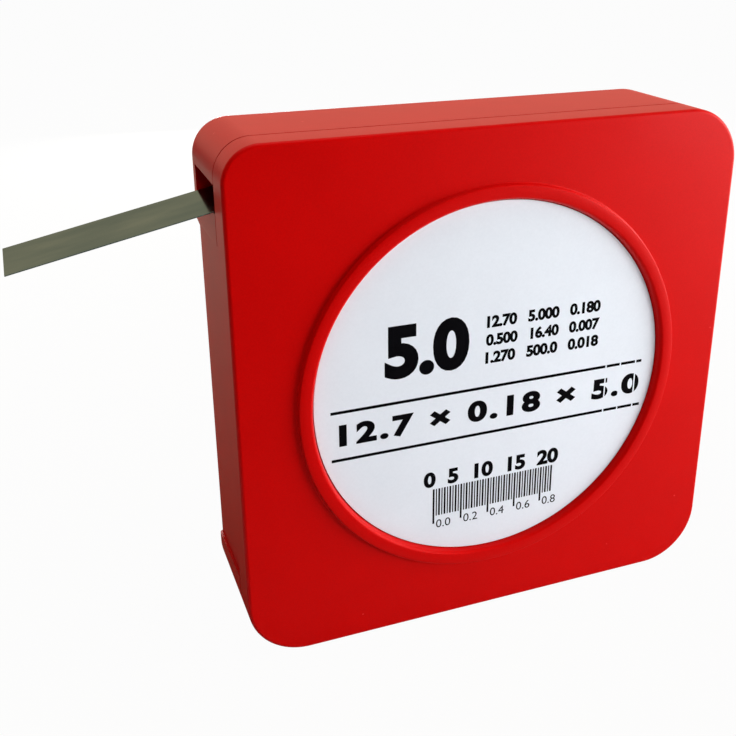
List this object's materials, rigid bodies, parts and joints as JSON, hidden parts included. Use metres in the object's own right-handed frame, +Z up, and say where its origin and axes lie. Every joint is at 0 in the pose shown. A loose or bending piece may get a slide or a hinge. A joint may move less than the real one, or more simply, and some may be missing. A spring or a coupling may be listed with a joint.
{
  "type": "shim steel tape coiled in a dispenser case",
  "caption": "Flat square plastic case standing on edge that holds a coiled thin steel shim tape, with the tape's free end drawn out through a slot at the upper left.",
  "frame": {"origin": "middle of the case's bottom face, halfway through its depth", "axes": "+Z up, the front with the ring and label faces -Y, the tape leaves towards -X"},
  "size_m": [0.1138, 0.0226, 0.085],
  "materials": {
    "red_plastic": "moulded red plastic, satin gloss",
    "label_paper": "smooth white printed label",
    "tape_steel": "bright rolled spring steel, dull grey-green in reflection"
  },
  "bodies": {
    "case": {"case_body": "red_plastic", "front_cover": "red_plastic", "label": "label_paper"},
    "coil": {"tape_coil": "tape_steel"},
    "tape": {"tape_end": "tape_steel"}
  },
  "joints": [
    {"name": "coil_turn", "type": "hinge", "parent": "case", "child": "coil", "pos_m": [0, 0.00125, 0.0425], "axis": [0, -1, 0], "range_deg": [0, 37]},
    {"name": "tape_pull", "type": "slide", "parent": "case", "child": "tape", "axis": [-0.9789, 0, -0.2045], "range_m": [0, 0.026]}
  ],
  "couplings": [
    {"joint": "tape_pull", "follows": "coil_turn", "m_per_rad": 0.03999}
  ]
}
